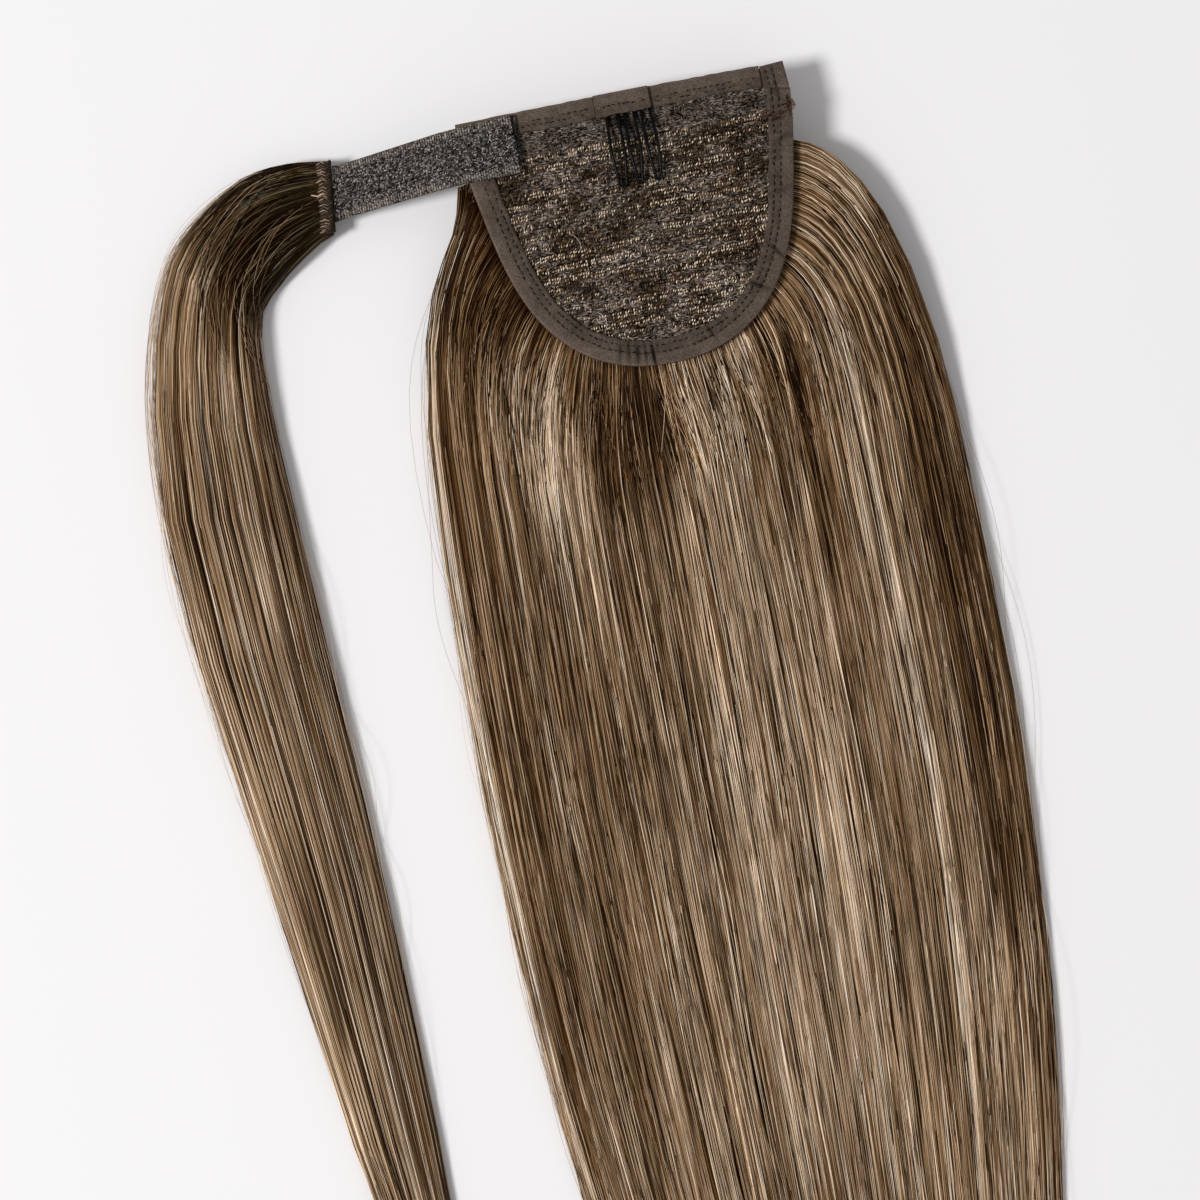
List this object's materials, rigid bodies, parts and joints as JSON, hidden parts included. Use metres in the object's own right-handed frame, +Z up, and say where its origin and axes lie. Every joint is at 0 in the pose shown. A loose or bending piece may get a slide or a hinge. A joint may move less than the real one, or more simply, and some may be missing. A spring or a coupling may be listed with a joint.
{
  "type": "ponytail hairpiece",
  "caption": "Wrap-around ponytail hairpiece lying flat: net base with bound rim and wire comb, long streaked hair, and a hook-and-loop strap to a loose wrap lock.",
  "frame": {"origin": "on the surface that it lies on, under the middle of the whole object's box", "axes": "+Y from the hair's tips to the straight top edge of the base, +X to the right as the inner side of the base is seen, +Z up from the surface it lies on"},
  "size_m": [0.3066, 0.5936, 0.0293],
  "materials": {
    "net": "grey-brown net with beige weft stitching",
    "tape": "matt woven grey-brown tape with two stitch rows",
    "comb_wire": "glossy black lacquered wire",
    "strap": "dark grey looped pile between ribbed selvedges",
    "weft": "beige-brown zigzag stitching",
    "hair": "straight brown hair with ash blond streaks and a soft sheen"
  },
  "bodies": {
    "root": {"base_net": "net", "edge_binding": "tape", "top_binding_left": "tape", "top_binding_right": "tape", "comb_tab": "tape", "wire_comb": "comb_wire", "hook_loop_strap": "strap", "wrap_weft": "weft", "wrap_lock_hair": "hair", "main_hair": "hair"}
  },
  "joints": []
}
